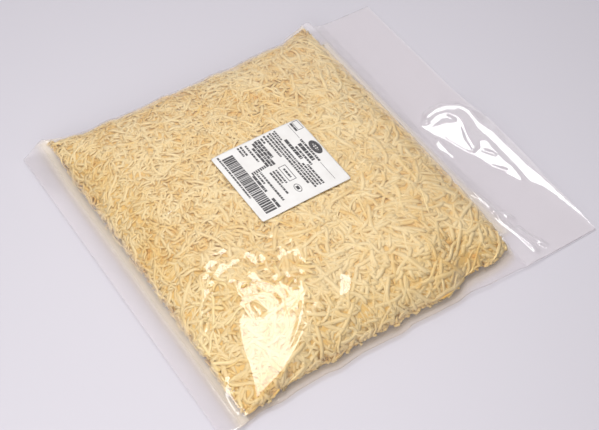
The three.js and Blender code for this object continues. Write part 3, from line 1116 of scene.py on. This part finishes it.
paper = bmesh.new()
bmesh.ops.create_grid(paper, x_segments=PAPER_STEPS, y_segments=PAPER_STEPS, size=0.5)
for vertex in paper.verts:
    u, v = spread(vertex.co.x * 2), spread(vertex.co.y * 2)
    dx, dy = rounded(u * label_high / 2, v * label_wide / 2)
    x, y = sticker_middle.x + dx, sticker_middle.y + dy
    vertex.co = (x, y, paper_top(x, y))
thick = bmesh.ops.extrude_face_region(paper, geom=paper.faces[:])
below = [item for item in thick["geom"] if isinstance(item, bmesh.types.BMVert)]
bmesh.ops.translate(paper, verts=below, vec=(0, 0, -PAPER_THICKNESS))
bmesh.ops.recalc_face_normals(paper, faces=paper.faces)
paper.normal_update()
for face in paper.faces:
    face.smooth = abs(face.normal.z) > 0.5
paper_piece = finish_piece(to_mesh(paper, "sticker_sheet"), paper_material())
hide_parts("sticker")

# %% [markdown]
# ## The print
#
# Print has no thickness worth speaking of. It could be a pattern in the paper's material, but shapes this
# many and this sharp are easier to place as mesh, like transfers. Each mark is a cube pressed flat, so thin
# that only its colour shows.
#
# The sticker carries no words. Where a real one has lines of writing, this one has rows of dashes, whose
# lengths are picked at random, and where it has a code to scan, bars of random widths. Places on the
# sticker are given in millimetres from its lower left corner, as when one reads it. Its head points towards
# +x.

# %% Marks
MARK_STEP = 6  # mm, the longest stretch of a mark without a bend
INK = 0.05 * MM  # how far a mark reaches above and below the paper's top

print_rng = np.random.default_rng(5)
ink = bmesh.new()


def add_mark(left, right, low, high):
    """A thin dark rectangle that follows the paper."""
    steps = max(1, round((right - left) / MARK_STEP)), max(1, round((high - low) / MARK_STEP))
    made = bmesh.ops.create_grid(ink, x_segments=steps[0], y_segments=steps[1], size=0.5)
    raised = bmesh.ops.extrude_face_region(ink, geom=faces_at(made["verts"]))
    upper = {item for item in raised["geom"] if isinstance(item, bmesh.types.BMVert)}
    for vertex in {*made["verts"], *upper}:
        across = left + (right - left) * (vertex.co.x + 0.5)
        up = low + (high - low) * (vertex.co.y + 0.5)
        x, y = sticker_low.x + up * MM, sticker_high.y - across * MM
        vertex.co = (x, y, paper_top(x, y) + (INK if vertex in upper else -INK))


def add_row(left, right, low, high, longest=3.2):
    """A row of dashes, as wide as words."""
    while left < right - 0.6:
        dash = min(print_rng.uniform(0.9, longest), right - left)
        add_mark(left, left + dash, low, high)
        left += dash + print_rng.uniform(0.35, 0.6)


def add_frame(left, right, low, high, line=0.4):
    """An empty box."""
    add_mark(left, right, low, low + line)
    add_mark(left, right, high - line, high)
    add_mark(left, left + line, low + line, high - line)
    add_mark(right - line, right, low + line, high - line)


def add_ring(across, up, half_wide, half_high, line, pieces=28):
    """An oval ring of short marks side by side."""
    for turn in np.arange(pieces) * 2 * math.pi / pieces:
        a, b = across + half_wide * math.cos(turn), up + half_high * math.sin(turn)
        add_mark(a - line / 2, a + line / 2, b - line / 2, b + line / 2)


# %% Print the sticker
# Rows of small writing: left, right, foot and head, in mm.
SMALL_ROWS = [
    (2, 49, 4.0, 5.5), (32, 43, 20.2, 21.8), (32, 64, 23.2, 24.9), (36, 61, 29.4, 31.0), (36, 50, 32.0, 33.5),
    (36, 51, 34.5, 36.0), (38, 48, 40.2, 41.8), (2, 12, 21.8, 23.4), (2, 13, 24.4, 26.0), (3, 23, 28.2, 29.8),
    (2, 27, 45.2, 46.9), (3, 60, 48.0, 49.7), (2, 66, 50.5, 52.1), (3, 66, 52.9, 54.4), (2, 13, 55.0, 56.3),
    (41, 66, 55.2, 56.7), (44, 66, 57.6, 59.2), (24, 46, 60.2, 62.0), (20, 46, 67.4, 69.2),
]
# Rows of large or bold writing.
BOLD_ROWS = [
    (32, 51, 16.8, 19.0), (58, 68, 17.0, 19.2), (3, 24, 39.0, 41.2), (3, 31, 36.5, 38.5), (4, 31, 34.0, 36.0),
    (8, 30, 31.4, 33.4), (14, 37, 56.8, 59.4), (23, 43, 63.4, 66.4), (1.5, 11, 70, 71.8), (3, 10, 42.2, 43.8),
]
for row in SMALL_ROWS:
    add_row(*row)
for row in BOLD_ROWS:
    add_row(*row, longest=6)
for up in np.arange(18, 33, 1.9):  # a slanting column of short marks
    left = 27 + (33 - up) * 0.12
    add_mark(left, left + 3, up, up + 1.3)
add_frame(1, 11, 72.4, 77.2)
add_frame(35, 51, 37.8, 44.2, line=0.5)
add_mark(2, 18.5, 68.2, 68.5)
add_mark(47.5, 67, 67.8, 68.1)
for half_wide, half_high in ((6.9, 3.3), (5.8, 2.6), (4.7, 1.9)):
    add_ring(32.5, 73.6, half_wide, half_high, 1.3)
for offset in (-2.4, 0.2, 2.8):
    add_mark(31.9 + offset, 32.9 + offset, 72.2, 75)
add_mark(29.5, 35.5, 73.2, 73.9)
add_ring(59.5, 39.6, 4.0, 2.4, 0.6)
add_mark(57.6, 61.2, 38.4, 40.8)

bar = 5.5
while bar < 67:
    width = print_rng.choice([0.5, 0.9, 1.3, 1.8])
    add_mark(bar, bar + width, 6.4, 15.9)
    bar += width + print_rng.choice([0.3, 0.45, 0.65])
bmesh.ops.recalc_face_normals(ink, faces=ink.faces)
finish_piece(to_mesh(ink, "sticker_print"), ink_material())

# %% [markdown]
# ## The floor
#
# The floor is a plain pale sheet, a hair below the bag so that the two never share a face. It could be
# curved up into a backdrop, but the camera looks down and sees no horizon, so a flat one will do.

# %% Floor
FLOOR_COLOUR = (0.60, 0.575, 0.615, 1)
FLOOR_SIZE = 6  # m, from its middle to each side
FLOOR_GAP = 0.3 * MM  # from the floor up to the bag

floor = bmesh.new()
bmesh.ops.create_grid(floor, x_segments=1, y_segments=1, size=FLOOR_SIZE)
bmesh.ops.translate(floor, verts=floor.verts, vec=(0, 0, -FLOOR_GAP))
floor_material, floor_tree = new_material("floor")
show(floor_tree, add_node(floor_tree, "BsdfDiffuse", Color=FLOOR_COLOUR))
floor_object = new_object(to_mesh(floor, "floor"), floor_material)

# %% [markdown]
# ## The lights
#
# Film shows mostly by what it mirrors, so a light's place and size matter as much as its strength. One
# broad soft light hangs above the bag. It gives most of the brightness, and its image is what shines in the
# folds and in the taut corner. A larger one fills in from the left. A small one close above evens out the
# cheese, and is hidden from mirrors, so that it leaves no image of its own.
#
# The surroundings are a dim even white. A few lamps would do there too, but one wide bright spot in them,
# on the side away from the camera, is what the flat parts of the film mirror, and gives them their pale
# sheen.


# %% Lights
def add_light(name, place, target, size, energy, mirrored=True):
    """A rectangular light that faces a target. The film mirrors it or not."""
    light = bpy.data.objects.new(name, bpy.data.lights.new(name, "AREA"))
    light.data.shape = "RECTANGLE"
    light.data.size, light.data.size_y = size
    light.data.energy = energy
    light.location = place
    light.rotation_mode = "QUATERNION"
    light.rotation_quaternion = (Vector(target) - Vector(place)).to_track_quat("-Z", "Y")
    light.visible_glossy = mirrored
    scene.collection.objects.link(light)
    print(f"{name}: {energy} W")


# Places and sizes are in metres, and strengths in watts.
add_light("softbox", (-0.067, 0.12, 1.0), (-0.067, 0.12, 0), (0.40, 0.57), 4.75)
add_light("fill", (-0.7, -0.55, 0.45), (-0.1, -0.05, 0), (0.8, 0.8), 5.6)
add_light("lamp", (-0.03, 0, 0.5), (-0.03, 0, 0), (0.25, 0.25), 0.35, mirrored=False)

# %% Surroundings
BRIGHT_SPOT = (0.40, 0.53, 0.75)  # the direction of its middle
SPOT_STARTS, SPOT_FULL = 0.7, 0.95  # cosines of the angle from there
DIM, BRIGHT = 0.325, 0.93  # how bright they are away from the spot, and in it
SURROUNDINGS_COLOUR = (0.97, 0.96, 1.0, 1)

world = bpy.data.worlds.new("world")
world.use_nodes = True
world_tree = world.node_tree
direction = add_node(world_tree, "TexCoord").outputs["Generated"]
dot = add_node(world_tree, "VectorMath", {"operation": "DOT_PRODUCT"}, i0=direction, i1=BRIGHT_SPOT)
spot = add_node(
    world_tree, "MapRange", {"interpolation_type": "SMOOTHSTEP"},
    i0=dot.outputs["Value"], i1=SPOT_STARTS, i2=SPOT_FULL, i3=DIM, i4=BRIGHT,
)
background = world_tree.nodes["Background"]
background.inputs["Color"].default_value = SURROUNDINGS_COLOUR
world_tree.links.new(spot.outputs["Result"], background.inputs["Strength"])
scene.world = world
scene.view_settings.view_transform = "Standard"
